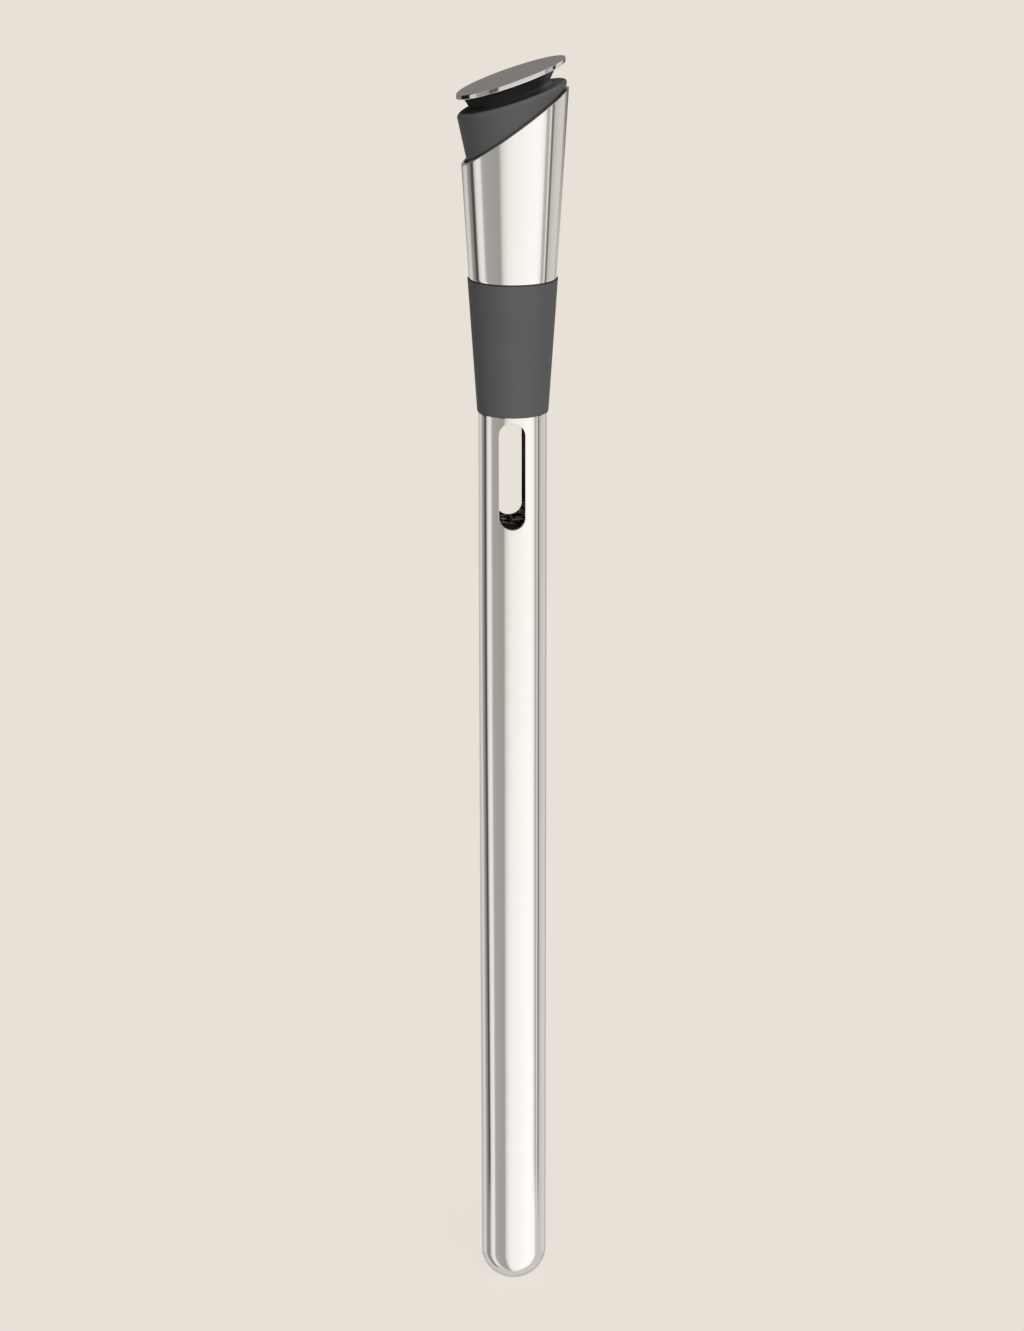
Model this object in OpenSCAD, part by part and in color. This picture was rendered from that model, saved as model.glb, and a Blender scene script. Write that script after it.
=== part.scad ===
// Wine chiller pourer. A steel rod full of cooling gel hangs in a bottle's neck by a tapered sleeve.
// Wine enters the rod through a slot under the sleeve, runs up through the neck and leaves over a
// slanted lip, which a stopper with a slanted steel cap closes.
// The origin is on the rod's axis at the sleeve's lower edge. Z points up, and the lip is on +X.

/* [Rod] */
// Outside diameter of the rod
rod_d = 17.3; // [16.4:0.1:17.6]
// Length of the rod below the sleeve, to the tip of its round end
rod_length = 234.8; // [160:0.1:280]
// Thickness of the rod's wall
rod_wall = 0.6; // [0.4:0.05:0.9]
// Length of the slotted upper tube, down to the weld that joins it to the rod
upper_length = 66; // [60:0.5:90]
// Outside diameter of the collar's neck, which carries the sleeve
neck_d = 14.8; // [13.6:0.1:15.4]
// Gap between the neck's end and the pourer's underside
neck_end_gap = 0.3; // [0.1:0.05:1]
// Width of the inlet slot
slot_width = 6.5; // [5:0.1:8]
// Length of the inlet slot, with its round ends
slot_length = 27.3; // [16:0.1:40]
// Steel left between the slot and the shoulder
slot_margin = 1.4; // [1.2:0.1:6]
// Turn of the slot about the rod's axis, in degrees
slot_turn = 3.1; // [0:0.1:8]
// How far the slot lies to the left of the rod's axis
slot_shift = 0.6; // [0:0.05:1.2]

/* [Gel chamber] */
// Depth of the bulkhead's top below the slot
bulkhead_drop = 2.5; // [1:0.1:8]
// Height of the bulkhead
bulkhead_height = 7; // [5:0.1:12]
// Clearance of the bulkhead's body in the rod
bulkhead_clearance = 0.3; // [0.1:0.05:0.6]
// Width of each seal rib on the bulkhead
bulkhead_rib = 1.2; // [0.8:0.1:2]
// Depth of the dish in the bulkhead's top
bulkhead_dish = 0.8; // [0.3:0.1:1.5]
// Room left over the gel, so that it can swell as it freezes
gel_headroom = 6; // [2:0.5:20]

/* [Sleeve] */
// Length of the sleeve
sleeve_length = 33.9; // [28:0.1:45]
// Diameter of the sleeve at its lower edge
sleeve_small_d = 17.9; // [17.7:0.1:18.2]
// Diameter of the sleeve at its upper edge
sleeve_large_d = 22.5; // [22.2:0.1:25]
// Radius of the sleeve's lower edge
sleeve_edge = 0.4; // [0.2:0.05:0.6]

/* [Spout] */
// Outside diameter of the shell at its lower edge
shell_base_d = 21.9; // [21.4:0.1:22.1]
// Flare of the shell on each side, in degrees
shell_flare = 3.5; // [2.5:0.1:5]
// Thickness of the shell's wall
shell_wall = 0.7; // [0.5:0.05:1]
// Height of the mouth's middle over the sleeve
mouth_height = 37.4; // [35:0.1:46]
// Slant of the mouth, in degrees
mouth_slant = 35.8; // [28:0.1:38]

/* [Pourer] */
// Height of the pourer's body over the sleeve
pourer_height = 10; // [8:0.1:11]
// Diameter of the pour channel
channel_d = 7.2; // [5.5:0.1:7.4]
// How far the pour channel lies towards the lip
channel_shift = 1.1; // [0.8:0.05:1.2]
// Diameter of the funnel at the pourer's top
funnel_d = 16; // [13:0.1:17]
// Depth of the funnel
funnel_depth = 4; // [2.5:0.1:6]
// Diameter of the air channel
vent_d = 1.6; // [1.2:0.1:1.8]
// How far the air channel lies from the axis, away from the lip
vent_shift = 4.1; // [4:0.05:4.2]
// Wall of the air channel's chimney
vent_wall = 0.6; // [0.45:0.05:0.65]
// Height of the chimney over the pourer's top
vent_rise = 2; // [1:0.1:3.5]
// Length of the stem that goes down into the rod's neck
stem_length = 24; // [16:0.1:26]
// Clearance between the stem and the neck
stem_clearance = 0.05; // [0.02:0.01:0.15]
// Thickness of the stem's O-ring
oring_d = 1.2; // [1:0.05:1.3]
// Distance from the stem's end to the O-ring's groove
oring_land = 2; // [1.2:0.1:5]
// Width of the groove beside the O-ring
oring_side_gap = 0.15; // [0.05:0.05:0.4]

/* [Stopper] */
// Gap between the stopper and the shell's lip
lip_clearance = 0.1; // [0.05:0.05:0.4]
// Height of the stopper's rim over the lip
rim_rise = 1.6; // [1:0.1:4]
// Slant of the stopper's rim, in degrees
rim_slant = 17.8; // [12:0.1:22]
// Radius of the rim's upper edge
rim_round = 0.9; // [0.4:0.05:1.1]
// Taper of the stopper on each side, in degrees
stopper_taper = 11.5; // [8:0.1:13]
// How far the stopper sits back from the lip
stopper_setback = 0.15; // [0:0.05:0.3]
// Height of the shadow gap under the stopper's head, at the lip
gap_at_lip = 0.8; // [0.3:0.05:1.2]
// Height of the shadow gap at the mouth's low corner
gap_at_corner = 0.3; // [0.15:0.05:0.8]
// Inset of the stopper in the shadow gap, from the shell's bore
gap_inset = 1.2; // [1:0.05:2]
// Room between the pourer's top and the stopper
chamber_height = 6.4; // [5:0.1:7]
// Clearance of the stopper's lower body in the shell
seal_clearance = 0.5; // [0.3:0.05:1]
// Depth of the lower body's top below the mouth's low corner
seal_drop = 0.6; // [0.4:0.1:3]
// Number of seal ribs
seal_ribs = 3; // [2:1:3]
// Width of a seal rib at its root
seal_rib = 1.6; // [1:0.1:1.8]
// Diameter of the recess in the stopper's underside
recess_d = 14; // [8:0.1:16]
// Depth of the recess
recess_depth = 9; // [4:0.1:11]

/* [Grip and cap] */
// Depth of the grip groove, from the rim to its floor
groove_depth = 3.5; // [2.5:0.1:5]
// Height of the groove's floor over the rim's widest line
groove_rise = 1.9; // [1.6:0.1:2.5]
// Drop of the groove's lower flank from its floor to the rim
groove_drop = 0.85; // [0.4:0.05:0.9]
// How far the groove sits back from the lip
groove_setback = 0.75; // [0:0.05:1]
// Height of the groove's upper flank
flank_height = 3; // [1.8:0.05:4]
// How far the upper flank leans out
flank_reach = 1.6; // [1:0.05:2.4]
// Thickness of the cap
cap_thickness = 1.25; // [1:0.05:2.5]
// How far the cap's edge lies inside the rim's
cap_inset = 0.05; // [0:0.05:0.5]
// Radius of the cap's edges
cap_edge = 0.2; // [0.1:0.05:0.3]
// Slant of the cap, in degrees
cap_slant = 18.8; // [13:0.1:23]
// How far the cap sits back from the lip
cap_setback = 0.45; // [0:0.05:1]
// Diameter of the stud under the cap
stud_d = 5; // [4:0.1:7]
// Diameter of the stud's foot
stud_foot_d = 8; // [7.2:0.1:10]
// Thickness of the stud's foot
stud_foot = 1.5; // [1:0.1:3]
// Depth of the stud below the cap's middle
stud_depth = 14; // [10:0.1:16]

/* [Hidden] */
$fn = 128;
overcut = 1;
arc_steps = 6;
steel = [0.86, 0.85, 0.83];
silicone = [0.29, 0.29, 0.29];
black_plastic = [0.06, 0.06, 0.06];

// Rod
rod_r = rod_d / 2;
bore_r = rod_r - rod_wall;
dome_z = rod_r - rod_length;
neck_r = neck_d / 2;
neck_bore_r = neck_r - rod_wall;
neck_top = sleeve_length - neck_end_gap;
slot_top = -slot_margin;
slot_bottom = slot_top - slot_length;
bulkhead_top = slot_bottom - bulkhead_drop;
bulkhead_bottom = bulkhead_top - bulkhead_height;
gel_top = bulkhead_bottom - gel_headroom;

// Shell: its radius grows with height, and its mouth lies in one slanted plane
shell_base_r = shell_base_d / 2;
shell_bore_base_r = shell_base_r - shell_wall;
flare = tan(shell_flare);
mouth_z = sleeve_length + mouth_height;
mouth_slope = tan(mouth_slant);
function shell_bore(z) = shell_bore_base_r + (z - sleeve_length) * flare;
function shell_outside(z) = shell_bore(z) + shell_wall;
// Heights at which the mouth's plane meets the bore, at the lip and at the low corner
bore_at_origin = shell_bore(0);
lip_z = (mouth_z + bore_at_origin * mouth_slope) / (1 - flare * mouth_slope);
low_z = (mouth_z - bore_at_origin * mouth_slope) / (1 + flare * mouth_slope);
shell_stock_top = lip_z + 2 * shell_wall * mouth_slope + overcut;

// Pourer
pourer_top = sleeve_length + pourer_height;
stem_r = neck_bore_r - stem_clearance;
stem_end = sleeve_length - stem_length;
channel_r = channel_d / 2;
vent_r = vent_d / 2;
oring_r = oring_d / 2;
oring_mid_r = neck_bore_r - oring_r;
oring_z = stem_end + oring_land + oring_r + oring_side_gap;

// Stopper: measured along the axis from the slanted planes, so a height here is the one on the axis
stopper_growth = tan(stopper_taper);
lip_bore_r = shell_bore(lip_z);
lip_level = lip_z - lip_bore_r * tan(rim_slant);
stopper_lip_r = lip_bore_r - lip_clearance + stopper_setback;
function stopper_r(level) = stopper_lip_r + (level - lip_level) * stopper_growth;
rim_level = lip_level + rim_rise;
rim_r = stopper_r(rim_level - rim_round * sin(stopper_taper)) + rim_round * (1 - cos(stopper_taper));
// Angle at which the rim's round runs into the groove's lower flank
rim_arc_end = 75;
// Underside of the stopper's head: a plane a little steeper than the mouth's
corner_bore_r = shell_bore(low_z);
head_slope = (lip_z + gap_at_lip - low_z - gap_at_corner) / (lip_bore_r + corner_bore_r);
head_z = lip_z + gap_at_lip - lip_bore_r * head_slope;
head_slant = atan(head_slope);
stopper_bottom = pourer_top + chamber_height;
seal_top = low_z - seal_drop;
seal_pitch = (seal_top - stopper_bottom) / seal_ribs;
taper_bottom = seal_top - lip_bore_r * tan(rim_slant) - overcut;
recess_top = stopper_bottom + recess_depth;
recess_r = recess_d / 2;

// Grip groove and cap
groove_r = rim_r - groove_depth;
groove_level = rim_level + groove_rise;
flank_level = groove_level - groove_drop;
cap_level = groove_level + flank_height;
cap_r = rim_r - cap_inset;
stud_bottom = cap_level - stud_depth;
stud_r = stud_d / 2;
stud_foot_r = stud_foot_d / 2;

// Points of an arc about a centre, from one angle to another
function arc(x, y, r, from, to) =
    [for (k = [0:arc_steps]) let (a = from + (to - from) * k / arc_steps) [x + r * cos(a), y + r * sin(a)]];

// Slides everything up in proportion to its X, so that level planes slant and upright walls stay upright
module slanted(angle) {
    multmatrix([[1, 0, 0, 0], [0, 1, 0, 0], [tan(angle), 0, 1, 0], [0, 0, 0, 1]]) children();
}

// Block that fills the space over or under a slanted plane, which crosses the axis at a height
module space_at_plane(height, angle, over = true) {
    reach = shell_stock_top;
    translate([0, 0, height]) rotate([0, -angle, 0]) translate([-reach, -reach, over ? 0 : -reach])
        cube([2 * reach, 2 * reach, reach]);
}

// Half section of a tube closed by a round end at dome_z, or of the space inside it
module round_ended_section(r, top) {
    intersection() {
        translate([0, dome_z]) circle(r = r);
        translate([0, dome_z - r]) square([r, r]);
    }
    translate([0, dome_z]) square([r, top - dome_z]);
}

// The slot's outline, cut straight through both walls
module slot_cut() {
    rotate([0, 0, slot_turn]) translate([-slot_shift, 0, 0]) rotate([90, 0, 0])
        linear_extrude(height = rod_d + 2 * overcut, center = true) {
            for (y = [slot_bottom + slot_width / 2, slot_top - slot_width / 2])
                translate([0, y]) circle(d = slot_width);
            translate([-slot_width / 2, slot_bottom + slot_width / 2])
                square([slot_width, slot_length - slot_width]);
        }
}

// Drawn steel tube with a round closed end, which holds most of the gel
module chill_rod() {
    color(steel) rotate_extrude() difference() {
        round_ended_section(rod_r, -upper_length);
        round_ended_section(bore_r, overcut - upper_length);
    }
}

// Tube welded on top of the rod and polished flush, with an inlet slot through both walls
module inlet_tube() {
    color(steel) difference() {
        rotate_extrude() translate([bore_r, -upper_length]) square([rod_wall, upper_length]);
        slot_cut();
    }
}

// Steel collar welded into the tube's end, with the narrower neck that carries the sleeve
module neck_collar() {
    color(steel) rotate_extrude() polygon([
        [neck_bore_r, -rod_wall], [bore_r, -rod_wall], [bore_r, 0], [neck_r, 0], [neck_r, neck_top],
        [neck_bore_r, neck_top]]);
}

// The gel that fills the rod up to the room left for it to swell
module cooling_gel() {
    color([0.55, 0.75, 0.9]) rotate_extrude() round_ended_section(bore_r, gel_top);
}

// Moulded plug pressed into the upper tube to close the gel chamber, with a seal rib near each end
module gel_bulkhead() {
    body_r = bore_r - bulkhead_clearance;
    color(black_plastic) rotate_extrude() difference() {
        union() {
            translate([0, bulkhead_bottom]) square([body_r, bulkhead_height]);
            for (z = [bulkhead_bottom + bulkhead_rib, bulkhead_top - 2 * bulkhead_rib])
                translate([0, z]) square([bore_r, bulkhead_rib]);
        }
        polygon([[0, bulkhead_top - bulkhead_dish], [body_r - bulkhead_rib, bulkhead_top],
            [body_r - bulkhead_rib, bulkhead_top + overcut], [0, bulkhead_top + overcut]]);
    }
}

// Silicone cone that seals in the bottle's neck, pushed over the collar's neck
module neck_sleeve() {
    small_r = sleeve_small_d / 2;
    color(silicone) rotate_extrude() polygon(concat(
        [[neck_r, 0]],
        arc(small_r - sleeve_edge, sleeve_edge, sleeve_edge, -90, 0),
        [[sleeve_large_d / 2, sleeve_length], [neck_r, sleeve_length]]));
}

// Flared steel shell whose mouth is cut in one slanted plane
module spout_shell() {
    stock_height = shell_stock_top - sleeve_length;
    color(steel) difference() {
        translate([0, 0, sleeve_length])
            cylinder(r1 = shell_base_r, r2 = shell_outside(shell_stock_top), h = stock_height);
        translate([0, 0, sleeve_length - overcut])
            cylinder(r1 = shell_bore(sleeve_length - overcut), r2 = shell_bore(shell_stock_top + overcut),
                h = stock_height + 2 * overcut);
        space_at_plane(mouth_z, mouth_slant);
    }
}

// The pour channel with its funnel, from the stem's end to the pourer's top
module channel_cut() {
    translate([channel_shift, 0, 0]) rotate_extrude() polygon([
        [0, stem_end - overcut], [channel_r, stem_end - overcut], [channel_r, pourer_top - funnel_depth],
        [funnel_d / 2, pourer_top], [funnel_d / 2, pourer_top + overcut], [0, pourer_top + overcut]]);
}

// Moulded body that holds the shell, with a funnel, a pour channel and an air channel with a chimney
module pourer_core() {
    groove_z = oring_z - oring_r - oring_side_gap;
    groove_width = oring_d + 2 * oring_side_gap;
    color(black_plastic) difference() {
        union() {
            difference() {
                rotate_extrude() polygon([
                    [0, stem_end], [stem_r, stem_end], [stem_r, groove_z],
                    [oring_mid_r - oring_r, groove_z], [oring_mid_r - oring_r, groove_z + groove_width],
                    [stem_r, groove_z + groove_width], [stem_r, sleeve_length],
                    [shell_bore(sleeve_length), sleeve_length], [shell_bore(pourer_top), pourer_top],
                    [0, pourer_top]]);
                channel_cut();
            }
            translate([-vent_shift, 0, sleeve_length + overcut])
                cylinder(r = vent_r + vent_wall, h = pourer_height + vent_rise - overcut);
        }
        translate([-vent_shift, 0, stem_end - overcut])
            cylinder(r = vent_r, h = stem_length + pourer_height + vent_rise + 2 * overcut);
    }
}

// O-ring that seals the pourer's stem in the rod's neck
module stem_oring() {
    color(black_plastic) translate([0, 0, oring_z])
        rotate_extrude() translate([oring_mid_r, 0]) circle(r = oring_r);
}

// The stud under the cap, with a foot that holds it in the silicone
module cap_stud() {
    translate([-cap_setback, 0, stud_bottom]) {
        cylinder(r = stud_r, h = cap_level + cap_thickness / 2 - stud_bottom);
        cylinder(r = stud_foot_r, h = stud_foot);
    }
}

// The stopper's tapered head, cut off by its slanted underside, with a slanted round-edged rim
module stopper_head() {
    edge_r = rim_r - rim_round;
    difference() {
        slanted(rim_slant) translate([-stopper_setback, 0, 0]) rotate_extrude() polygon(concat(
            [[0, taper_bottom], [stopper_r(taper_bottom), taper_bottom]],
            arc(edge_r, rim_level, rim_round, -stopper_taper, rim_arc_end),
            [[groove_r, flank_level], [0, flank_level]]));
        space_at_plane(head_z, head_slant, over = false);
    }
}

// The narrower part that carries the head and leaves the shadow gap under it
module stopper_neck() {
    foot = stopper_bottom + seal_clearance;
    top = lip_z + gap_at_lip + 2 * overcut;
    difference() {
        translate([0, 0, foot])
            cylinder(r1 = shell_bore(foot) - gap_inset, r2 = shell_bore(top) - gap_inset, h = top - foot);
        space_at_plane(head_z + overcut, head_slant);
    }
}

// The waist of the grip groove, which flares up to the cap
module stopper_waist() {
    slanted(cap_slant) translate([-groove_setback, 0, 0]) rotate_extrude() polygon([
        [0, rim_level - rim_round], [rim_r - rim_round, flank_level - rim_round / 2],
        [groove_r, groove_level], [groove_r + flank_reach, cap_level], [0, cap_level]]);
}

// The stopper's lower body, which follows the shell's bore, with seal ribs that touch it
module stopper_seal() {
    rotate_extrude() {
        polygon([
            [0, stopper_bottom],
            [shell_bore(stopper_bottom) - 2 * seal_clearance, stopper_bottom],
            [shell_bore(stopper_bottom + seal_clearance) - seal_clearance, stopper_bottom + seal_clearance],
            [shell_bore(seal_top) - seal_clearance, seal_top],
            [0, seal_top]]);
        for (k = [0:seal_ribs - 1]) {
            mid = stopper_bottom + (k + 0.5) * seal_pitch;
            low = mid - seal_rib / 2;
            high = mid + seal_rib / 2;
            polygon([
                [0, low], [shell_bore(low) - seal_clearance, low],
                [shell_bore(mid - seal_rib / 4), mid - seal_rib / 4],
                [shell_bore(mid + seal_rib / 4), mid + seal_rib / 4],
                [shell_bore(high) - seal_clearance, high], [0, high]]);
        }
    }
}

// Silicone stopper, moulded in one piece round the cap's stud
module stopper_plug() {
    color(silicone) difference() {
        union() {
            stopper_head();
            stopper_neck();
            stopper_waist();
            stopper_seal();
        }
        translate([0, 0, stopper_bottom - overcut]) cylinder(r = recess_r, h = recess_depth + overcut);
        cap_stud();
    }
}

// Slanted round steel cap with its stud
module stopper_cap() {
    color(steel) union() {
        slanted(cap_slant) translate([-cap_setback, 0, 0]) rotate_extrude() polygon(concat(
            [[0, cap_level]],
            arc(cap_r - cap_edge, cap_level + cap_edge, cap_edge, -90, 0),
            arc(cap_r - cap_edge, cap_level + cap_thickness - cap_edge, cap_edge, 0, 90),
            [[0, cap_level + cap_thickness]]));
        cap_stud();
    }
}

chill_rod();
inlet_tube();
neck_collar();
cooling_gel();
gel_bulkhead();
neck_sleeve();
spout_shell();
pourer_core();
stem_oring();
stopper_plug();
stopper_cap();
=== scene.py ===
# Rod: a drawn steel tube with a round closed end, and a shorter tube welded on top, with a slot
# milled through both its walls. The weld is ground and the whole polished to a mirror, so that no
# seam shows. Inside, the steel is left dull, brown high up and nearly black low down.
import bmesh
import bpy
import math
from mathutils import Matrix, Vector


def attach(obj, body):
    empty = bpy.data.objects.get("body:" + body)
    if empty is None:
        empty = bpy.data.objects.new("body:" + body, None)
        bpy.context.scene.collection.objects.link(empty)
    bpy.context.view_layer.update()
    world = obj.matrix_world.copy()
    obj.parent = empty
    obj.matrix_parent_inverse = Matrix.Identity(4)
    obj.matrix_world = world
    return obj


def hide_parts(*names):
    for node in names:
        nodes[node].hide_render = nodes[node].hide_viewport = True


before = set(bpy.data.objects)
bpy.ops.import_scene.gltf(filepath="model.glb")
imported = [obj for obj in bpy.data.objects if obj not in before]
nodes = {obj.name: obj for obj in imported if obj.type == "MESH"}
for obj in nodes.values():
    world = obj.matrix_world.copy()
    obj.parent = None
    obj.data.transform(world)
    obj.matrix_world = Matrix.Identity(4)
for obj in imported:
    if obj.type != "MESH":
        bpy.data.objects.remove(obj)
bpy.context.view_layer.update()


class Line:
    """A line that carries a value through a finish's nodes, and takes part in sums."""

    def __init__(self, tree, socket):
        self.tree, self.socket = tree, socket

    def sum(self, operation, first, second):
        return Finish(self.tree).add("Math", {"operation": operation}, {0: first, 1: second})

    def __add__(self, other): return self.sum("ADD", self, other)
    def __radd__(self, other): return self.sum("ADD", other, self)
    def __sub__(self, other): return self.sum("SUBTRACT", self, other)
    def __rsub__(self, other): return self.sum("SUBTRACT", other, self)
    def __mul__(self, other): return self.sum("MULTIPLY", self, other)
    def __rmul__(self, other): return self.sum("MULTIPLY", other, self)
    def __truediv__(self, other): return self.sum("DIVIDE", self, other)
    def __gt__(self, other): return self.sum("GREATER_THAN", self, other)
    def __lt__(self, other): return self.sum("LESS_THAN", self, other)


class Finish:
    """The nodes of one finish."""

    def __init__(self, tree):
        self.tree = tree

    def add(self, kind, settings=None, sockets=None, out=0):
        node = self.tree.nodes.new("ShaderNode" + kind)
        for name, value in (settings or {}).items():
            if name == "stops":
                ramp = node.color_ramp
                while len(ramp.elements) < len(value):
                    ramp.elements.new(0.5)
                for stop, (place, color) in zip(ramp.elements, value):
                    stop.position = place
                    stop.color = (*color, 1)
            else:
                setattr(node, name, value)
        for name, value in (sockets or {}).items():
            if isinstance(value, Line):
                self.tree.links.new(value.socket, node.inputs[name])
            else:
                node.inputs[name].default_value = value
        return Line(self.tree, node.outputs[out])

    def ease(self, line, low, high):
        """0 where the line is at low, 1 where it is at high, and smooth between."""
        return self.add("MapRange", {"interpolation_type": "SMOOTHSTEP"}, {0: line, 1: low, 2: high})

    def mix(self, factor, first, second):
        return self.add("Mix", {"data_type": "RGBA"}, {0: factor, 6: first, 7: second}, 2)

    def place(self):
        """The point on the piece in millimetres, as a vector and as its X, Y and Z."""
        point = self.add("TexCoord", out=3)
        large = self.add("VectorMath", {"operation": "SCALE"}, {0: point, 3: 1000})
        split = self.add("SeparateXYZ", {}, {0: large})
        return (large, split, *(Line(self.tree, split.socket.node.outputs[k]) for k in (1, 2)))

    def far(self, x, y):
        """Distance from the axis, where x and y are lines."""
        return self.add("Math", {"operation": "SQRT"}, {0: x * x + y * y})

    def grain(self, point, scale, detail=3, stretch=(1, 1, 1)):
        """Fine noise from 0 to 1 about a point. A small stretch draws it out along an axis."""
        pulled = self.add("VectorMath", {"operation": "MULTIPLY"}, {0: point, 1: stretch})
        return self.add("TexNoise", {}, {"Vector": pulled, "Scale": scale, "Detail": detail})


def finish_named(name):
    """A new finish without nodes, and the way to add them."""
    finish = bpy.data.materials.new(name)
    finish.use_nodes = True
    finish.node_tree.nodes.clear()
    return finish, Finish(finish.node_tree)


def coat_with(finish, surface):
    """Ends a finish with this surface."""
    tree = finish.node_tree
    end = tree.nodes.new("ShaderNodeOutputMaterial")
    tree.links.new(surface.socket, end.inputs["Surface"])


sharp_angle = math.radians(38)


def piece_from(name, points, faces, finish, material_slot, *solids):
    """A smooth piece from points in millimetres, which stands for one or more nodes of the frame."""
    mesh = bpy.data.meshes.new(name)
    mesh.from_pydata([(x / 1000, y / 1000, z / 1000) for x, y, z in points], [], faces)
    mesh.validate()
    mesh.shade_smooth()
    mesh.set_sharp_from_angle(angle=sharp_angle)
    mesh.materials.append(finish)
    piece = bpy.data.objects.new(name, mesh)
    bpy.context.scene.collection.objects.link(piece)
    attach(piece, "root")
    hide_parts(*solids)
    return piece


pole = 0.0005  # radius of the pinhole that a turned form leaves on its axis
rod_radius, bore_radius = 8.65, 8.05
dome_height = -226.15
slot_half, slot_low, slot_high = 3.25, -28.7, -1.4
slot_middle, slot_turn = -0.6, math.radians(3.1)
slot_rim = 0.12
patch_half, patch_low, patch_high = 5.0, -29.9, -0.62

side_steps, end_steps, right_steps, left_steps = 26, 48, 88, 68
slot_angles = [math.pi * k / end_steps for k in range(end_steps + 1)]
straight_low, straight_high = slot_low + slot_half, slot_high - slot_half


def outline(half, low, high, rise):
    """Points (across, height) up the left side, over the end of this rise, down the right and under."""
    left = [(-half, low + (high - low) * k / side_steps) for k in range(side_steps)]
    over = [(-half * math.cos(a), high + rise * math.sin(a)) for a in slot_angles]
    right = [(-x, low + high - z) for x, z in left]
    under = [(half * math.cos(a), low - rise * math.sin(a)) for a in slot_angles]
    return left + over + right[1:] + under[:-1]


def slot_outline(grown):
    """The slot's rim, pushed outwards by this much."""
    return outline(slot_half + grown, straight_low, straight_high, slot_half + grown)


rod_points, rod_faces = [], []


def rod_strip(first, second, closed=True):
    """Joins two rows of points with a strip of wall."""
    start = len(rod_points)
    rod_points.extend(first + second)
    count = len(first)
    for k in range(count if closed else count - 1):
        n = (k + 1) % count
        rod_faces.append((start + k, start + n, start + count + n, start + count + k))


def on_wall(radius, across, height, back):
    """A point on a skin of the rod, this far across from the slot's middle, in front or at the back."""
    across += slot_middle
    depth = math.sqrt(radius * radius - across * across)
    return (across, depth if back else -depth, height)


def between(start, end, steps):
    """Angles in equal steps from one to another, without either."""
    return [start + (end - start) * k / steps for k in range(1, steps)]


def wall_angles(radius):
    """Angles round the wall from the front, which match the slot patches' own columns."""
    front = [math.asin((slot_middle - patch_half * math.cos(a)) / radius) for a in slot_angles]
    back = [math.pi - a for a in reversed(front)]
    right = between(front[-1], back[0], right_steps)
    left = between(back[-1], 2 * math.pi + front[0], left_steps)
    return front, right, back, left


def rod_wall(radius, low_rows, high_rows):
    """One skin of the rod: closed rows under and over the slots, and the wall between the slots."""
    front, right, back, left = wall_angles(radius)
    around = front + right + back + left

    def row(angles, r, z):
        return [(r * math.sin(a), -r * math.cos(a), z) for a in angles]

    for rows in (low_rows, high_rows):
        for first, second in zip(rows, rows[1:]):
            rod_strip(row(around, *first), row(around, *second))
    heights = [patch_low + (patch_high - patch_low) * k / side_steps for k in range(side_steps + 1)]
    for start, middle, end in ((front[-1], right, back[0]), (back[-1], left, front[0] + 2 * math.pi)):
        span = [start] + middle + [end]
        for z0, z1 in zip(heights, heights[1:]):
            rod_strip(row(span, radius, z0), row(span, radius, z1), closed=False)


def ring(radius, rim, t, back):
    """Points on a skin of the rod between the slot's rim, at 0, and the edge of its patch, at 1."""
    return [on_wall(radius, a + (c - a) * t, b + (d - b) * t, back)
            for (a, b), (c, d) in zip(rim, outline(patch_half, patch_low, patch_high, 0))]


dome_rows = [(math.sin(math.radians(a)), -math.cos(math.radians(a))) for a in range(3, 91, 3)]
rod_wall(rod_radius,
         [(pole, dome_height - rod_radius)]
         + [(rod_radius * r, dome_height + rod_radius * z) for r, z in dome_rows]
         + [(rod_radius, z) for z in (-180, -130, -80, -40, patch_low)],
         [(rod_radius, patch_high), (rod_radius, -0.15), (rod_radius, -0.12),
          (rod_radius - 0.035, -0.035), (rod_radius - 0.12, 0), (bore_radius, 0)])
rod_wall(bore_radius,
         [(pole, dome_height - bore_radius)]
         + [(bore_radius * r, dome_height + bore_radius * z) for r, z in dome_rows]
         + [(bore_radius, z) for z in (-130, patch_low)],
         [(bore_radius, patch_high), (bore_radius, 0)])
for back in (False, True):
    rings = [ring(bore_radius, slot_outline(0), k / 4, back) for k in range(4, -1, -1)]
    for degrees in (90, 67.5, 45, 22.5):
        a = math.radians(degrees)
        rings.append([on_wall(rod_radius - slot_rim * (1 - math.cos(a)), x, z, back)
                      for x, z in slot_outline(slot_rim * (1 - math.sin(a)))])
    rings += [ring(rod_radius, slot_outline(slot_rim), (k / 5) ** 1.3, back) for k in range(6)]
    for first, second in zip(rings, rings[1:]):
        rod_strip(first, second)

turn = Matrix.Rotation(slot_turn, 3, "Z")
rod_points = [tuple(turn @ Vector(p)) for p in rod_points]

polished_steel, wiring = finish_named("polished_steel")
spot, x, y, z = wiring.place()
from_axis = wiring.far(x, y)
inside = (from_axis < bore_radius + 0.3) * (z > -60) * (z < 5)
in_spout = (from_axis < 10.6 + (z - 33.9) * 0.0612) * (z > 30)  # the spout's bore and half its wall
haze = wiring.grain(spot, 0.25, 3)
rubbed = wiring.grain(spot, 9, 2, (1, 1, 0.04))
streak_grain = wiring.grain(spot, 0.7, 5, (1, 1, 3.5))
steel_color = wiring.mix(haze, (0.855, 0.85, 0.84, 1), (0.885, 0.88, 0.87, 1))
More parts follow.
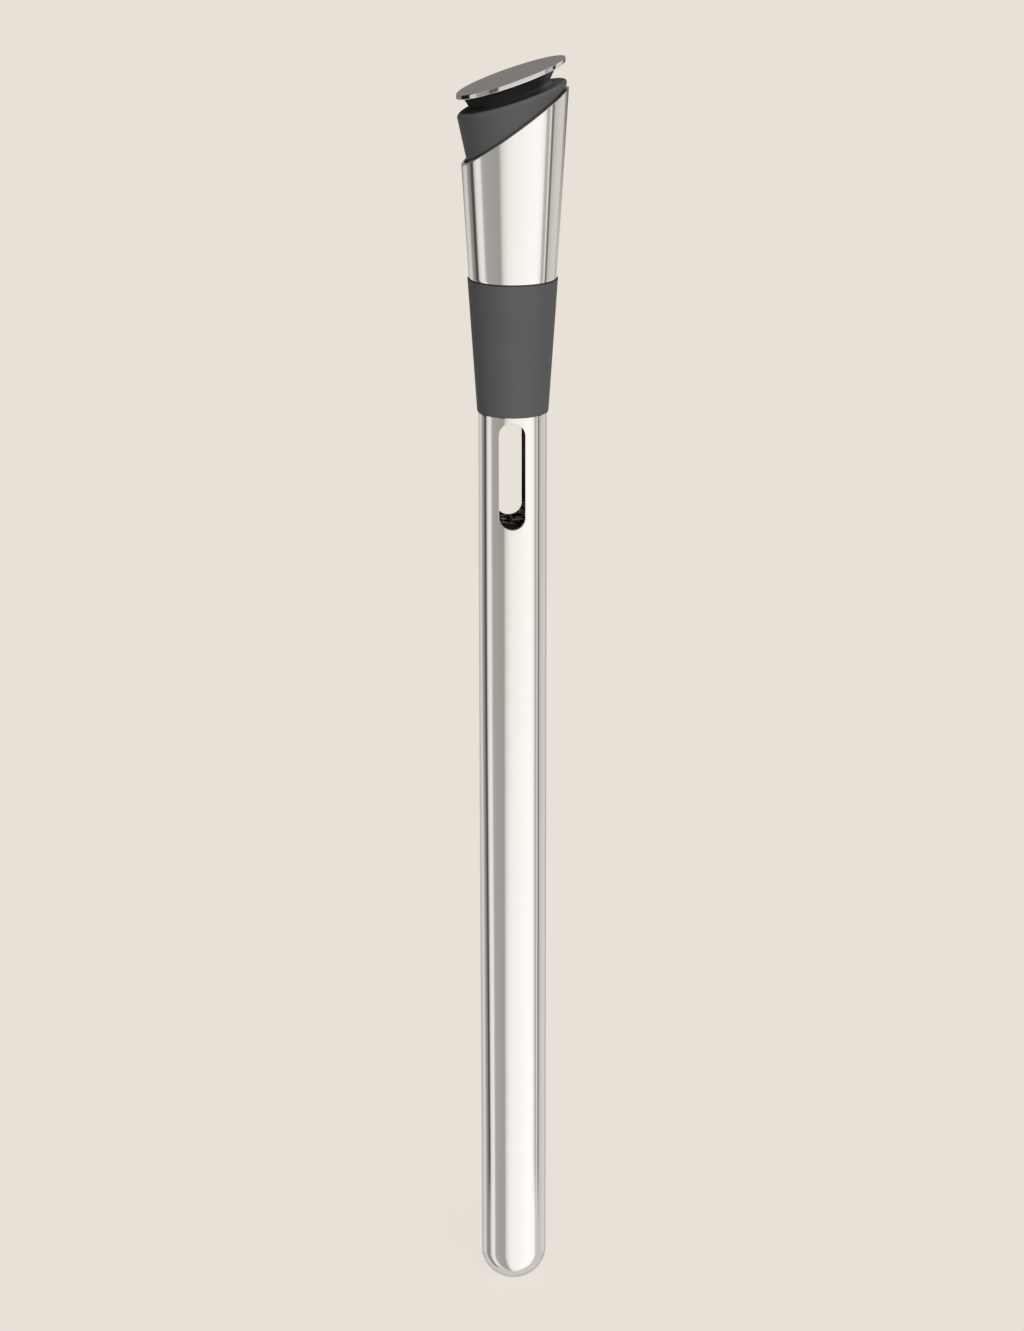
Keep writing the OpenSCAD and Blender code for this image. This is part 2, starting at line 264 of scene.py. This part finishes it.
# The dull inner wall is brown high up and nearly black low down, with pale streaks at the slot's foot
dull_by_height = wiring.mix(wiring.ease(z, -24, -8), (0.008, 0.007, 0.006, 1), (0.1, 0.075, 0.062, 1))
streaks = wiring.ease(streak_grain, 0.47, 0.66) * (1 - wiring.ease(z, -26, -23.5))
dull_color = wiring.mix(streaks, dull_by_height, (0.4, 0.38, 0.35, 1))
polish_lines = wiring.add("Bump", {}, {"Strength": 0.008, "Distance": 0.00001, "Height": rubbed})
coat_with(polished_steel, wiring.add("BsdfPrincipled", {}, {
    "Base Color": wiring.mix(inside, steel_color, dull_color),
    "Metallic": 1 - 0.85 * inside - 0.6 * in_spout,
    "Roughness": 0.02 + 0.015 * haze + 0.01 * rubbed + 0.5 * inside + 0.4 * in_spout,
    "Specular IOR Level": 0.1,
    "Normal": polish_lines}))

rod = piece_from("polished_rod", rod_points, rod_faces, polished_steel, "polished_steel",
                 "chill_rod", "inlet_tube")
rod_mesh = bmesh.new()
rod_mesh.from_mesh(rod.data)
bmesh.ops.remove_doubles(rod_mesh, verts=rod_mesh.verts, dist=2e-6)
bmesh.ops.recalc_face_normals(rod_mesh, faces=rod_mesh.faces)
rod_mesh.to_mesh(rod.data)
rod_mesh.free()
rod.data.shade_smooth()
rod.data.set_sharp_from_angle(angle=sharp_angle)


# Collar: a turned steel ring with a narrower neck, welded into the tube's end to carry the sleeve.
# It has the rod's dull inner finish, and only its underside shows, through the slot.
def dress(name, finish):
    """Gives a solid of the frame its finish."""
    nodes[name].data.materials.clear()
    nodes[name].data.materials.append(finish)


dress("neck_collar", polished_steel)


# Gel: a clear blue cooling gel that fills the rod below the bulkhead. It was poured in before the
# bulkhead was pressed home, and it never shows from outside.
cooling_gel, wiring = finish_named("cooling_gel")
spot = wiring.place()[0]
clouds = wiring.grain(spot, 0.25, 3)
coat_with(cooling_gel, wiring.add("BsdfPrincipled", {}, {
    "Base Color": wiring.mix(clouds, (0.42, 0.64, 0.84, 1), (0.6, 0.78, 0.92, 1)),
    "Roughness": 0.15 + 0.1 * clouds}))
dress("cooling_gel", cooling_gel)


# Bulkhead: a moulded black plug with two seal ribs, pressed into the rod just under the slot to close
# the gel in. The pourer's body is moulded in the same black plastic.
black_plastic, wiring = finish_named("black_plastic")
spot = wiring.place()[0]
fine = wiring.grain(spot, 6, 4)
coat_with(black_plastic, wiring.add("BsdfPrincipled", {}, {
    "Base Color": wiring.mix(fine, (0.012, 0.012, 0.012, 1), (0.022, 0.021, 0.02, 1)),
    "Roughness": 0.4 + 0.15 * fine,
    "Normal": wiring.add("Bump", {}, {"Strength": 0.15, "Distance": 0.00003, "Height": fine})}))
dress("gel_bulkhead", black_plastic)
dress("pourer_core", black_plastic)


# Sleeve: a cone of dark grey silicone, moulded with a fine matte skin and pushed over the collar. Its
# taper seals in the bottle's mouth, and the spout clamps it down on the rod's shoulder.
def arc(x, y, radius, start, end, steps=6):
    """Points of an arc about a centre, from one angle to another in degrees."""
    angles = [math.radians(start + (end - start) * k / steps) for k in range(steps + 1)]
    return [(x + radius * math.cos(a), y + radius * math.sin(a)) for a in angles]


def turned(profile, place=lambda x, y, z: (x, y, z), around=256):
    """Points and faces of a profile of (radius, height) turned about the axis and then put in place."""
    points, faces = [], []
    for r, h in profile:
        for k in range(around):
            a = 2 * math.pi * k / around
            points.append(place(r * math.cos(a), r * math.sin(a), h))
    rows = len(profile)
    for j in range(rows - 1):
        for k in range(around):
            n = (k + 1) % around
            faces.append((j * around + k, j * around + n, (j + 1) * around + n, (j + 1) * around + k))
    return points, faces


def held_flat(profile, reach=0.03):
    """Adds a point near both ends of long straight runs, so that smooth shading stays in the rounds."""
    made = [profile[0]]
    for (r0, h0), (r1, h1) in zip(profile, profile[1:]):
        long = math.hypot(r1 - r0, h1 - h0)
        if long > 4 * reach:
            t = reach / long
            made += [(r0 + (r1 - r0) * t, h0 + (h1 - h0) * t), (r1 + (r0 - r1) * t, h1 + (h0 - h1) * t)]
        made.append((r1, h1))
    return made


sleeve_height, sleeve_bore = 33.9, 7.4
sleeve_low_radius, sleeve_high_radius, sleeve_round, sleeve_edge = 8.95, 11.25, 0.4, 0.12

silicone, wiring = finish_named("dark_silicone")
spot, x, y, z = wiring.place()
fine = wiring.grain(spot, 7, 4)
broad = wiring.grain(spot, 0.12, 3)
silicone_color = wiring.mix(0.65 * broad + 0.35 * fine,
                            (0.080, 0.081, 0.083, 1), (0.098, 0.0995, 0.102, 1))
# Painted shade: the grip groove under the cap, where the cap's shadow falls, is darkened to near black
above_head = z - 0.33 * x > 78.7
within_edge = 1 - wiring.ease(wiring.far(x + 0.15, y), 12.3, 13.0)
shaded_groove = above_head * within_edge * (1 - 0.85 * wiring.ease(x, 6, 9.5))
# Painted shade: a dark band at the seam between the sleeve and the spout stands for contact shadow
shaded_seam = (z > sleeve_height - 0.28) * (z < sleeve_height + 0.4)
# Painted shade darkens the base colour in the grip groove and in the seam
coat_with(silicone, wiring.add("BsdfPrincipled", {}, {
    "Base Color": wiring.mix(shaded_groove + 0.85 * shaded_seam, silicone_color, (0.018, 0.018, 0.018, 1)),
    "Roughness": 0.48 + 0.12 * fine + 0.4 * shaded_groove,
    "Specular IOR Level": 0.3,
    "Normal": wiring.add("Bump", {}, {"Strength": 0.2, "Distance": 0.00004, "Height": fine})}))

low_round = arc(sleeve_low_radius - sleeve_round, sleeve_round, sleeve_round, -90, 0)
high_round = arc(sleeve_high_radius - sleeve_edge, sleeve_height - sleeve_edge, sleeve_edge, 0, 90, 4)
sleeve_profile = ([(sleeve_bore, 0)] + low_round + high_round
                  + [(sleeve_bore, sleeve_height), (sleeve_bore, 0)])
piece_from("neck_cone", *turned(held_flat(sleeve_profile)), silicone, "silicone", "neck_sleeve")


# O-ring: a plain black rubber ring, rolled into a groove of the pourer's stem. It seals the stem in
# the rod's neck, so that the wine goes through the pourer, and it never shows from outside.
black_rubber, wiring = finish_named("black_rubber")
spot = wiring.place()[0]
fine = wiring.grain(spot, 5, 3)
coat_with(black_rubber, wiring.add("BsdfPrincipled", {}, {
    "Base Color": wiring.mix(fine, (0.012, 0.012, 0.012, 1), (0.02, 0.02, 0.02, 1)),
    "Roughness": 0.35 + 0.2 * fine}))
dress("stem_oring", black_rubber)


# Shell: a flared tube of the same polished steel, pressed on the pourer's body. Its mouth is cut in one
# slanted plane and its edges are broken by tumbling, and its highest point is the pouring lip.
shell_base, shell_bore, shell_flare = 10.95, 10.25, math.tan(math.radians(3.5))
mouth_height, mouth_slope = sleeve_height + 37.4, math.tan(math.radians(35.8))
shell_rim, shell_foot_rim, shell_around = 0.16, 0.1, 288


def shell_point(base_radius, angle, height):
    """A point on a cone of the shell's flare that has this radius at the shell's foot."""
    radius = base_radius + (height - sleeve_height) * shell_flare
    return Vector((radius * math.cos(angle), radius * math.sin(angle), height))


def plane_on_cone(base_radius, across, middle_height, slope):
    """Height where a slanted plane meets a cone of the shell's flare. Across is the angle's cosine."""
    at_origin = base_radius - sleeve_height * shell_flare
    return (middle_height + at_origin * across * slope) / (1 - shell_flare * slope * across)


def mouth_point(base_radius, angle):
    """Where the mouth's plane meets the wall at this angle."""
    height = plane_on_cone(base_radius, math.cos(angle), mouth_height, mouth_slope)
    return shell_point(base_radius, angle, height)


def rounded_edge(before, corner, after, reach, steps=5):
    """Points of a small round that replaces the corner between two straight runs."""
    start = corner + (before - corner).normalized() * reach
    end = corner + (after - corner).normalized() * reach
    shares = [k / steps for k in range(steps + 1)]
    return [start.lerp(corner, t).lerp(corner.lerp(end, t), t) for t in shares]


def faces_round(columns, rows):
    """Faces between columns of points that stand in a closed ring."""
    faces = []
    for k in range(columns):
        n = (k + 1) % columns
        for j in range(rows - 1):
            faces.append((k * rows + j, n * rows + j, n * rows + j + 1, k * rows + j + 1))
    return faces


shell_points = []
for k in range(shell_around):
    angle = 2 * math.pi * k / shell_around
    outside_low, inside_low = (shell_point(r, angle, sleeve_height) for r in (shell_base, shell_bore))
    outside_high, inside_high = (mouth_point(r, angle) for r in (shell_base, shell_bore))
    foot = rounded_edge(inside_low, outside_low, outside_high, shell_foot_rim)
    column = foot + [outside_low.lerp(outside_high, t) for t in (0.02, 0.3, 0.6, 0.9)]
    rim = rounded_edge(outside_low, outside_high, inside_high, shell_rim)
    column += [rim[0].lerp(outside_low, 0.001)] + rim
    rim = rounded_edge(outside_high, inside_high, inside_low, shell_rim)
    column += rim + [rim[-1].lerp(inside_low, 0.001)]
    column += [inside_high.lerp(inside_low, t) for t in (0.1, 0.5, 1)] + [foot[0]]
    shell_points += [tuple(p) for p in column]
shell_faces = faces_round(shell_around, len(column))
piece_from("spout_wall", shell_points, shell_faces, polished_steel, "polished_steel", "spout_shell")


# Cap: a slanted round disc of stainless steel, on a stud that is moulded into the stopper. Its rim
# is polished, and its face is finely turned and left satin, so that it reflects nothing sharply.
def slid_up(angle, back):
    """Puts a turned form in place: set back from the lip, and slid up in proportion to X."""
    slope = math.tan(math.radians(angle))
    return lambda x, y, z: (x - back, y, z + (x - back) * slope)


def bore_at(height):
    """Radius of the shell's bore at this height."""
    return shell_bore + (height - sleeve_height) * shell_flare


rim_slant, cap_slant = 17.8, 18.8
head_setback, waist_setback, cap_setback = 0.15, 0.75, 0.45
head_taper = math.radians(11.5)
lip_height = plane_on_cone(shell_bore, 1, mouth_height, mouth_slope)
lip_bore = bore_at(lip_height)
rim_slope, taper = math.tan(math.radians(rim_slant)), math.tan(head_taper)
lip_level = lip_height - lip_bore * rim_slope
lip_clearance, rim_rise = 0.1, 1.6
groove_inset, groove_rise, flank_drop, waist_height = 3.5, 1.9, 0.85, 3
rim_level = lip_level + rim_rise


def stopper_radius(level):
    """Radius of the stopper's tapered head, which clears the bore at the lip."""
    return lip_bore - lip_clearance + head_setback + (level - lip_level) * taper


rim_round = 0.9
rim_radius = (stopper_radius(rim_level - rim_round * math.sin(head_taper))
              + rim_round * (1 - math.cos(head_taper)))
groove_radius, groove_level = rim_radius - groove_inset, rim_level + groove_rise
flank_level = groove_level - flank_drop
cap_level, cap_radius, cap_thickness = groove_level + waist_height, rim_radius - 0.05, 1.25
stud_length, stud_radius, stud_foot_radius, stud_foot = 14, 2.5, 4, 1.5
stud_low = cap_level - stud_length

satin_steel, wiring = finish_named("satin_steel")
spot, x, y = wiring.place()[:3]
from_stud = wiring.far(x + cap_setback, y)
face = 1 - wiring.ease(from_stud, cap_radius - 0.5, cap_radius - 0.2)
rings = wiring.add("TexNoise", {"noise_dimensions": "1D"}, {"W": from_stud, "Scale": 12, "Detail": 3})
rings = rings * wiring.ease(from_stud, 0.3, 2)
haze = wiring.grain(spot, 0.4, 4)
coat_with(satin_steel, wiring.add("BsdfPrincipled", {}, {
    "Base Color": wiring.mix(haze, (0.775, 0.785, 0.775, 1), (0.85, 0.862, 0.852, 1)),
    "Metallic": 1.0,
    "Roughness": 0.05 + 0.03 * haze + face * (0.18 + 0.05 * rings),
    "Normal": wiring.add("Bump", {}, {"Strength": 0.04, "Distance": 0.00002, "Height": rings * face})}))

cap_rim = 0.2
cap_profile = ([(pole, cap_level)] + arc(cap_radius - cap_rim, cap_level + cap_rim, cap_rim, -90, 0)
               + arc(cap_radius - cap_rim, cap_level + cap_thickness - cap_rim, cap_rim, 0, 90)
               + [(pole, cap_level + cap_thickness)])
on_cap = slid_up(cap_slant, cap_setback)
cap_points, cap_faces = turned(held_flat(cap_profile), on_cap)
stud_points, stud_faces = turned(
    [(pole, stud_low), (stud_foot_radius, stud_low), (stud_foot_radius, stud_low + stud_foot),
     (stud_radius, stud_low + stud_foot), (stud_radius, cap_level + 0.5)],
    lambda x, y, z: on_cap(x, y, z) if z > cap_level else (x - cap_setback, y, z), 96)
cap_faces += [tuple(len(cap_points) + i for i in face) for face in stud_faces]
piece_from("cap_disc", cap_points + stud_points, cap_faces, satin_steel, "satin_steel", "stopper_cap")


# Stopper: dark grey silicone moulded in one piece round the stud. Its tapered head ends just over
# the shell's mouth and leaves a shadow gap there, a waist that flares up to the cap leaves a groove
# for the fingers, and a hollow plug below carries three ribs that seal against the shell's bore.
stopper_low, plug_clearance, gap_inset, rib_width = 50.3, 0.5, 1.2, 1.6
gap_at_lip, gap_at_corner, seal_drop = 0.8, 0.3, 0.6
low_height = plane_on_cone(shell_bore, -1, mouth_height, mouth_slope)
corner_bore = bore_at(low_height)
head_slope = (lip_height + gap_at_lip - low_height - gap_at_corner) / (lip_bore + corner_bore)
head_height = lip_height + gap_at_lip - lip_bore * head_slope
plug_top = low_height - seal_drop
rib_count, hollow_radius, hollow_depth = 3, 7, 9
rib_pitch = (plug_top - stopper_low) / rib_count
hollow_top = stopper_low + hollow_depth

plug_profile = [(pole, hollow_top), (hollow_radius, hollow_top), (hollow_radius, stopper_low),
                (bore_at(stopper_low) - 2 * plug_clearance, stopper_low),
                (bore_at(stopper_low + plug_clearance) - plug_clearance, stopper_low + plug_clearance)]
for k in range(rib_count):
    middle = stopper_low + (k + 0.5) * rib_pitch
    for t in (-0.5, -0.25, 0.25, 0.5):
        height = middle + t * rib_width
        plug_profile.append((bore_at(height) - (plug_clearance if abs(t) == 0.5 else 0), height))
plug_profile += [(bore_at(plug_top) - plug_clearance, plug_top),
                 (bore_at(plug_top) - gap_inset, plug_top)]
plug_profile = held_flat(plug_profile, 0.02)
head_edge = arc(rim_radius - rim_round, rim_level, rim_round, -math.degrees(head_taper), 75, 10)
head_profile = held_flat(head_edge + [(groove_radius - 0.1, flank_level)], 0.02)[:-1]
waist_flare = 1.6
waist_profile = held_flat([(groove_radius, groove_level), (groove_radius + waist_flare, cap_level),
                           (pole, cap_level)], 0.02)
on_rim, on_waist = slid_up(rim_slant, head_setback), slid_up(cap_slant, waist_setback)

stopper_points, stopper_around, head_round = [], 256, 0.12
neck_radius, steep = shell_bore - gap_inset, head_slope - rim_slope
for k in range(stopper_around):
    angle = 2 * math.pi * k / stopper_around
    across, deep = math.cos(angle), math.sin(angle)
    column = [Vector((r * across, r * deep, z)) for r, z in plug_profile]
    neck_height = plane_on_cone(neck_radius, across, head_height, head_slope)
    neck_end = shell_point(neck_radius, angle, neck_height)
    # The head's lower edge, where its taper meets the slanted plane over the gap
    low_level = ((head_height + (stopper_radius(0) * across - head_setback) * steep)
                 / (1 - taper * across * steep))
    low_radius = stopper_radius(low_level)
    head_low = Vector(on_rim(low_radius * across, low_radius * deep, low_level))
    rim = [Vector(on_rim(r * across, r * deep, h)) for r, h in head_profile]
    column += [neck_end.lerp(column[-1], 0.02), neck_end]
    edge = rounded_edge(neck_end, head_low, rim[0], head_round, 4)
    column += [edge[0].lerp(neck_end, 0.02)] + edge
    column += [edge[-1].lerp(rim[0], 0.02), edge[-1].lerp(rim[0], 0.98)] + rim
    column += [Vector(on_waist(r * across, r * deep, h)) for r, h in waist_profile]
    stopper_points += [tuple(p) for p in column]
stopper_faces = faces_round(stopper_around, len(column))
piece_from("silicone_stopper", stopper_points, stopper_faces, silicone, "silicone", "stopper_plug")


# Floor and studio: a plain pale floor, a bright screen in front, a grey one to the left and narrow
# dark gaps between them, which polished steel shows as upright bands. Only reflections see the
# screens, and soft lamps light what is dull.
page_color = (0.807, 0.753, 0.687, 1)
floor_half, floor_low = 14, (dome_height - rod_radius) / 1000
floor_corners = [(x * floor_half, y * floor_half, floor_low)
                 for x, y in ((-1, -1), (1, -1), (1, 1), (-1, 1))]
floor_mesh = bpy.data.meshes.new("studio_floor")
floor_mesh.from_pydata(floor_corners, [], [(0, 1, 2, 3)])
floor = bpy.data.objects.new("studio_floor", floor_mesh)
bpy.context.scene.collection.objects.link(floor)
floor.visible_glossy = floor.visible_diffuse = False
paper, wiring = finish_named("floor_paper")
lit = wiring.add("BsdfDiffuse", {}, {"Color": (0.8, 0.75, 0.69, 1)})
plain = wiring.add("Emission", {}, {"Color": page_color, "Strength": 1.033})
tooth = wiring.grain(wiring.place()[0], 0.05, 3)
coat_with(paper, wiring.add("MixShader", {}, {0: 0.07 + 0.01 * tooth, 1: plain, 2: lit}))
floor_mesh.materials.append(paper)

world = bpy.data.worlds.new("studio")
bpy.context.scene.world = world
world.use_nodes = True
world.node_tree.nodes.clear()
wiring = Finish(world.node_tree)
towards = wiring.add("TexCoord")
east = wiring.add("SeparateXYZ", {}, {0: towards})
north = Line(world.node_tree, east.socket.node.outputs[1])
up = Line(world.node_tree, east.socket.node.outputs[2])
turn_about = wiring.add("Math", {"operation": "ARCTAN2"}, {0: east, 1: 0 - north}) / (2 * math.pi) + 0.5

hall_gain, steel_shine = 1.25, 0.865


def shade(level):
    """Light that steel shows as this screen level from 0 to 255, warm unless it is nearly white."""
    c = level / 255
    light = (c / 12.92 if c <= 0.04045 else ((c + 0.055) / 1.055) ** 2.4) / steel_shine / hall_gain
    warmth = 0.5 if level > 244 else 1
    return (light * (1 + 0.06 * warmth), light, light * (1 - 0.05 * warmth))


def around_the_object(left, right, left_turn):
    """Screens to the left and right as (azimuth from the camera's side, level), with soft edges."""
    halves = []
    for half, line in ((left, left_turn), (right, turn_about)):
        stops = [((azimuth + 180) / 360, shade(level)) for azimuth, level in half]
        halves.append(wiring.add("ValToRGB", {"stops": stops}, {0: line}))
    return wiring.mix(turn_about > 0.5, *halves)


# What steel that looks down sees. The screens to the left stand close, so that they reach further
# round for the spout than for the rod's foot. The narrow dark screens end near the floor.
left_edge = (180 - 28) / 360
close_turn = left_edge + (turn_about - left_edge) / (1 + 0.2 * wiring.ease(up, -0.40, -0.25))
left_end = [(-180, 221), (-160, 214), (-150, 196), (-144, 172), (-136, 172), (-128, 198),
            (-115, 200), (-110, 165)]
grey_screen = [(-86, 190), (-80, 222), (-71, 222), (-66, 168), (-60, 158), (-34, 151), (-30, 154),
               (-26.5, 195), (-21, 214), (-13, 229), (0, 235)]
white_screen = [(0, 235), (20, 239), (50, 247), (62, 247), (69, 240)]
right_end = [(102, 182), (113, 192), (128, 200), (139, 196), (144, 170), (152, 170), (158, 196),
             (166, 210), (180, 218)]
middle_band = around_the_object(
    left_end + [(-106, 136), (-99, 130), (-97, 76), (-90, 76)] + grey_screen,
    white_screen + [(74.5, 231), (80, 172), (85.5, 170), (89, 213), (91.5, 208), (94, 110), (98, 110)]
    + right_end,
    close_turn)
low_band = around_the_object(
    left_end + [(-106, 138), (-98, 131), (-92, 131), (-89, 180)] + grey_screen,
    white_screen + [(76, 250), (83, 205), (90, 192)] + right_end,
    close_turn)
# What the cap's rim and face see, nearer the level
high_band = around_the_object(
    [(-180, 122), (-130, 118), (-126, 25), (-98, 25), (-95, 200), (-80, 205), (-77, 150), (-60, 148),
     (-47, 142), (-45, 88), (-27, 88), (-24, 206), (0, 208)],
    [(0, 208), (75, 212), (78, 160), (84, 150), (88, 186), (99, 178), (101, 42), (108, 42),
     (111, 205), (134, 205), (142, 150), (152, 105), (165, 98), (180, 122)],
    turn_about)
hall = wiring.mix(wiring.ease(up, -0.415, -0.392), low_band, middle_band)
# The floor throws light back on what is close to it, which takes the warmth off
near_floor = wiring.add("VectorMath", {"operation": "MULTIPLY"}, {0: hall, 1: (1.03, 1.06, 1.08)})
hall = wiring.mix(wiring.ease(up, -0.40, -0.24), near_floor, hall)
hall = wiring.mix(wiring.ease(up, -0.21, -0.16), hall, high_band)
# The screens stand on grey paper, which ends in shadow behind the object
below = (1 - wiring.ease(up, -0.9, -0.8)) * wiring.ease(north, -0.33, 0.1)
hall = wiring.mix(below, hall, (*shade(194), 1))
behind = (1 - wiring.ease(up, -0.47, -0.42)) * wiring.ease(north, 0.3, 0.6)
hall = wiring.mix(behind, hall, (*shade(180), 1))
# Reflections see the screens, the camera sees the page, and what is dull gets an even soft light
light_path = wiring.add("LightPath")
is_glossy = Line(world.node_tree, light_path.socket.node.outputs["Is Glossy Ray"])
soft_light = 0.18 / hall_gain
seen = wiring.mix(is_glossy, (soft_light, soft_light, soft_light, 1), hall)
seen = wiring.mix(light_path, seen, tuple(c / hall_gain for c in page_color[:3]) + (1,))
sky = wiring.add("Background", {}, {"Color": seen, "Strength": hall_gain})
world_end = world.node_tree.nodes.new("ShaderNodeOutputWorld")
world.node_tree.links.new(sky.socket, world_end.inputs["Surface"])

lamp_height, lamp_spread = math.radians(25), math.radians(40)
for name, azimuth, strength in (("key_screen", 20, 2.6), ("fill_screen", -20, 0.6)):
    sun = bpy.data.lights.new(name, "SUN")
    sun.energy, sun.angle = strength, lamp_spread
    lamp = bpy.data.objects.new(name, sun)
    bpy.context.scene.collection.objects.link(lamp)
    a, e = math.radians(azimuth), lamp_height
    away = Vector((math.sin(a) * math.cos(e), -math.cos(a) * math.cos(e), math.sin(e)))
    lamp.rotation_euler = away.to_track_quat("Z", "Y").to_euler()
    lamp.visible_glossy = False


# Camera: a metre in front of the pourer and higher than its cap, with a long lens and tilted down
# by 16 degrees. The whole pourer stands upright in the picture, as in the photo.
pitch, roll = math.radians(16.05), math.radians(-0.05)
focal_length, picture_height = 4210, 1331  # in pixels of the picture
view_camera = bpy.data.cameras.new("photo_view")
view_camera.sensor_width = 36
view_camera.lens = focal_length / picture_height * view_camera.sensor_width
view_camera.clip_end = 60
camera = bpy.data.objects.new("photo_view", view_camera)
bpy.context.scene.collection.objects.link(camera)
camera.location = (-0.00026, -1.03108, 0.23026)
aim = Matrix.Rotation(math.pi / 2 - pitch, 3, "X") @ Matrix.Rotation(roll, 3, "Z")
camera.rotation_euler = aim.to_euler()
bpy.context.scene.camera = camera
bpy.context.scene.view_settings.view_transform = "Standard"
